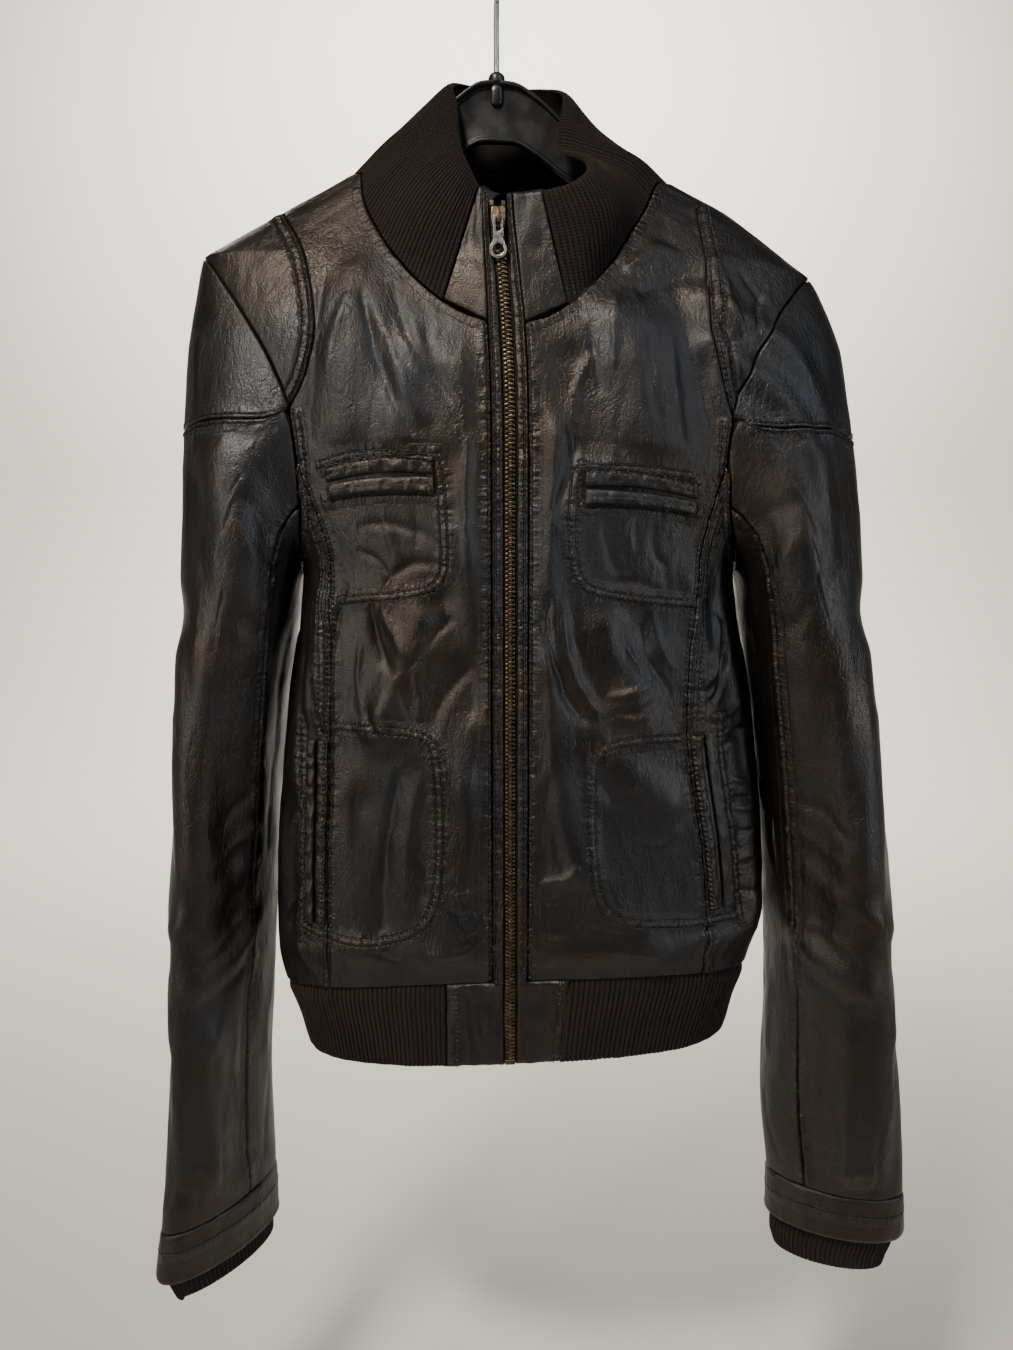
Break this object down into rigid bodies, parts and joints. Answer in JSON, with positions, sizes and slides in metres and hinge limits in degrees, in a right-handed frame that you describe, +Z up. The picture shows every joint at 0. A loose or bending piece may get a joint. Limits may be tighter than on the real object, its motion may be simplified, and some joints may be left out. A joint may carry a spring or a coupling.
{
  "type": "leather jacket on a hanger",
  "caption": "Fitted zip-front leather jacket with ribbed knit collar, hem band and cuffs, hung zipped up on a plastic hanger with a wire hook",
  "frame": {"origin": "the inside top of the hanger's hook, where a rail holds it", "axes": "+X the jacket's left as worn, +Y its back, +Z up"},
  "size_m": [0.5034, 0.141, 0.8899],
  "materials": {
    "leather": "worn semi-gloss lambskin, very dark brown",
    "knit": "dark brown ribbed wool knit",
    "zip_tape": "woven black-brown tape",
    "zip_brass": "aged antique brass",
    "tab_steel": "worn nickel plate",
    "hanger_plastic": "satin black moulding",
    "hook_wire": "plated wire"
  },
  "bodies": {
    "jacket": {"back_panel": "leather", "chest_welt_lower_left": "leather", "chest_welt_lower_right": "leather", "chest_welt_upper_left": "leather", "chest_welt_upper_right": "leather", "collar_facing_left": "leather", "collar_facing_right": "leather", "collar_rib": "knit", "cuff_rib_left": "knit", "cuff_rib_right": "knit", "front_panel_left": "leather", "front_panel_right": "leather", "hanger": "hanger_plastic", "hanger_boss": "hanger_plastic", "hanger_hook": "hook_wire", "hem_block_left": "leather", "hem_block_right": "leather", "hem_rib": "knit", "neck_strip": "leather", "placket_left": "leather", "placket_right": "leather", "shoulder_panel_left": "leather", "shoulder_panel_right": "leather", "side_panel_left": "leather", "side_panel_right": "leather", "side_welt_inner_left": "leather", "side_welt_inner_right": "leather", "side_welt_outer_left": "leather", "side_welt_outer_right": "leather", "sleeve_cap_left": "leather", "sleeve_cap_right": "leather", "sleeve_hem_left": "leather", "sleeve_hem_right": "leather", "sleeve_under_left": "leather", "sleeve_under_right": "leather", "sleeve_upper_left": "leather", "sleeve_upper_right": "leather", "slider_bridge": "zip_brass", "zip_bottom_stop": "zip_brass", "zip_chain": "zip_brass", "zip_slider": "zip_brass", "zip_tape_left": "zip_tape", "zip_tape_right": "zip_tape"},
    "pull_tab": {"pull_tab": "tab_steel"}
  },
  "joints": [
    {"name": "tab_swing", "type": "hinge", "parent": "jacket", "child": "pull_tab", "pos_m": [0.00136, -0.05664, -0.197], "axis": [-1, 0, 0], "range_deg": [0, 150]}
  ]
}
